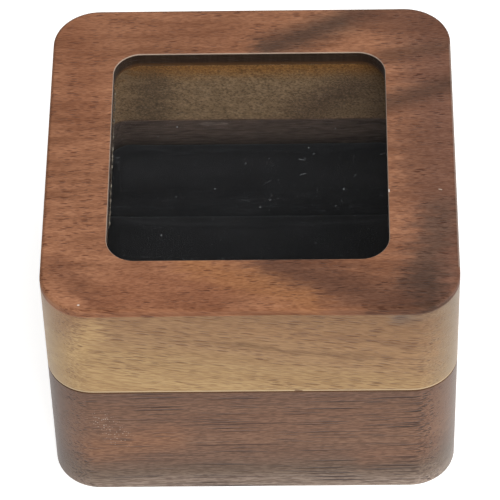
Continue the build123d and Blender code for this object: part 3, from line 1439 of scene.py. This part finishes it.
@dataclass
class Magnets:
    """The nickel-plated discs that hold the lid, sunk in the corners of both blocks (mm)."""

    rim_radius: float = 0.25
    dish_inset: float = 0.35
    dish_depth: float = 0.02
    sides: int = 64
    smooth_angle: float = 40.0

    def disc(self, low: Vector, high: Vector) -> Shape:
        """Models one disc with rolled rims and slightly dished faces.

        Args:
            low: The lowest corner of the disc's node in metres.
            high: The highest corner of the disc's node in metres.

        Returns:
            The disc.
        """
        bpy.ops.object.select_all(action="DESELECT")
        bpy.ops.mesh.primitive_cylinder_add(vertices=self.sides, radius=(high.x - low.x) / 2,
                                            depth=high.z - low.z, location=(low + high) / 2)
        disc = bpy.context.object
        disc.name = disc.data.name = "nickel_disc"
        settle(disc)
        with edit_mode(disc):
            pick(disc, Element.EDGES, lambda edge: level(edge.verts[0].co.z, edge.verts[1].co.z))
            bpy.ops.mesh.bevel(offset=self.rim_radius * MM, segments=4, affect="EDGES")
            for height, way in ((low.z, 1.0), (high.z, -1.0)):
                pick(disc, Element.FACES, lambda face: lies_at(face, height))
                bpy.ops.mesh.inset(thickness=self.dish_inset * MM, depth=0.0)
                bpy.ops.mesh.inset(thickness=self.dish_inset * MM / 2, depth=0.0)
                bpy.ops.transform.translate(value=(0.0, 0.0, way * self.dish_depth * MM))
        bpy.ops.object.shade_smooth_by_angle(angle=math.radians(self.smooth_angle))
        return disc

    def build(self) -> None:
        """Models a disc once and sets a copy of it in each corner of both blocks."""
        plate = NickelPlate().material()
        first_low, first_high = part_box(f"base_magnet_{Corner.FRONT_LEFT.value}")
        model = self.disc(first_low, first_high)
        for body, corner in product(Body, Corner):
            node = f"{body.value}_magnet_{corner.value}"
            disc = model.copy()
            disc.data = model.data.copy()
            disc.name = disc.data.name = f"nickel_disc_{body.value}_{corner.value}"
            bpy.context.scene.collection.objects.link(disc)
            disc.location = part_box(node)[0] - first_low
            settle(disc)
            dress(disc, plate)
            seat(disc, body, [node])
        bpy.data.objects.remove(model)


@dataclass
class Studio:
    """The pale floor, the soft lamps and the room that the box is looked at in.

    Sizes are in metres. The gloss goes from the horizon's strength to the zenith's.
    """

    floor_radius: float = 0.9
    floor_sides: int = 128
    lip: float = 0.01
    floor_colour: str = "#e9e9e8"
    floor_lift: float = 0.55
    dome_low: float = 0.3
    dome_high: float = 0.6
    horizon: float = 0.9
    zenith: float = 0.06
    dome_ends: Pair = (0.25, 0.62)
    lamps: tuple[tuple[str, Triple, float, float], ...] = (
        ("key", (0.15, -0.93, 0.95), 0.9, 10.5),
        ("fill", (0.85, -0.3, 0.55), 0.8, 5.5),
    )

    def paper(self) -> Material:
        """Makes the floor's paper, which the camera and the gloss see a little lighter.

        Returns:
            The material.
        """
        material, tree = new_material("pale_paper_floor")
        path = add(tree, "LightPath").node.outputs
        seen = add(tree, "Math.MAXIMUM", path["Is Camera Ray"], path["Is Glossy Ray"])
        paper = add(tree, "BsdfDiffuse", {"Color": linear(self.floor_colour)})
        lift = add(tree, "Math.MULTIPLY", seen, self.floor_lift)
        glow = add(tree, "Emission", {"Strength": lift})
        add(tree, "OutputMaterial", add(tree, "AddShader", paper, glow))
        return material

    def floor(self) -> None:
        """Models a round table top with a rolled edge, level with the box's foot."""
        bpy.ops.object.select_all(action="DESELECT")
        bpy.ops.mesh.primitive_circle_add(vertices=self.floor_sides, radius=self.floor_radius,
                                          fill_type="NGON")
        floor = bpy.context.object
        floor.name = "floor"
        with edit_mode(floor):
            pick(floor, Element.FACES)
            bpy.ops.mesh.inset(thickness=self.lip)
            pick(floor, Element.POINTS, lambda point: point.co.length > self.floor_radius - self.lip / 2)
            bpy.ops.transform.translate(value=(0.0, 0.0, -self.lip))
        dress(floor, self.paper())

    def light(self) -> None:
        """Sets up the soft lamps, which all point at the middle of the box."""
        target = (cad_box[0] + cad_box[1]) / 2
        for name, place, size, watts in self.lamps:
            bpy.ops.object.light_add(type="AREA", location=place)
            lamp = bpy.context.object
            lamp.name = f"{name}_lamp"
            lamp.data.size = size
            lamp.data.energy = watts
            lamp.rotation_euler = (target - Vector(place)).to_track_quat("-Z", "Y").to_euler()

    def room(self) -> None:
        """Sets up the room: white to the camera, a dome of light, and a dark ceiling in gloss."""
        world = bpy.data.worlds.new("studio_room")
        bpy.context.scene.world = world
        world.use_nodes = True
        tree = world.node_tree
        tree.nodes.clear()
        height = add(tree, "SeparateXYZ", add(tree, "TexCoord", out="Generated"), out="Z")
        up = between(tree, height, *self.dome_ends)
        wall, dome = (add(tree, "Math.MULTIPLY_ADD", up, high - low, low)
                      for low, high in ((self.horizon, self.zenith), (self.dome_low, self.dome_high)))
        path = add(tree, "LightPath").node.outputs
        lit = {"Factor": path["Is Glossy Ray"], "A": dome, "B": wall}
        seen = {"Factor": path["Is Camera Ray"], "A": add(tree, "Mix", lit, data_type="FLOAT"), "B": 1.0}
        seen = add(tree, "Mix", seen, data_type="FLOAT")
        add(tree, "OutputWorld", add(tree, "Background", {"Color": linear("#ffffff"), "Strength": seen}))

    def build(self) -> None:
        """Sets up the whole studio with a plain view transform."""
        bpy.context.scene.view_settings.view_transform = "Standard"
        self.floor()
        self.light()
        self.room()


@dataclass
class Camera:
    """The photograph's camera: its place in millimetres and its turns in degrees."""

    place: Triple = (11.099, -375.108, 448.869)
    down: float = 48.7274
    turn: float = -1.7861
    tilt: float = -1.8575
    focal_pixels: float = 3469.15
    frame_pixels: float = 500.0
    sensor_width: float = 36.0

    def build(self) -> None:
        """Sets up the camera, first level, and then tilted about its own axis."""
        turn, down, tilt = (math.radians(a) for a in (self.turn, self.down, self.tilt))
        ahead = Vector((math.sin(turn) * math.cos(down), math.cos(turn) * math.cos(down), -math.sin(down)))
        right = Vector((math.cos(turn), -math.sin(turn), 0.0))
        up = right.cross(ahead)
        tilted_right = math.cos(tilt) * right + math.sin(tilt) * up
        tilted_up = math.cos(tilt) * up - math.sin(tilt) * right
        bpy.ops.object.camera_add(location=Vector(self.place) * MM)
        camera = bpy.context.object
        camera.rotation_euler = Matrix((tilted_right, tilted_up, -ahead)).transposed().to_euler()
        camera.data.sensor_width = self.sensor_width
        camera.data.lens = self.focal_pixels / self.frame_pixels * self.sensor_width
        camera.data.clip_start, camera.data.clip_end = 0.01, 10.0
        bpy.context.scene.camera = camera


def main() -> None:
    """Builds the scene: the room, the camera, and the box from the outside in."""
    logging.basicConfig(level=logging.INFO, format="%(message)s")
    Studio().build()
    Camera().build()
    lid = Lid()
    lid.dress_blocks()
    lid.squeeze_out()
    Base().dress_blocks()
    pad = RingPad()
    for place in Bar:
        pad.core(place)
        pad.cover(place)
    Magnets().build()


if __name__ == "__main__":
    main()
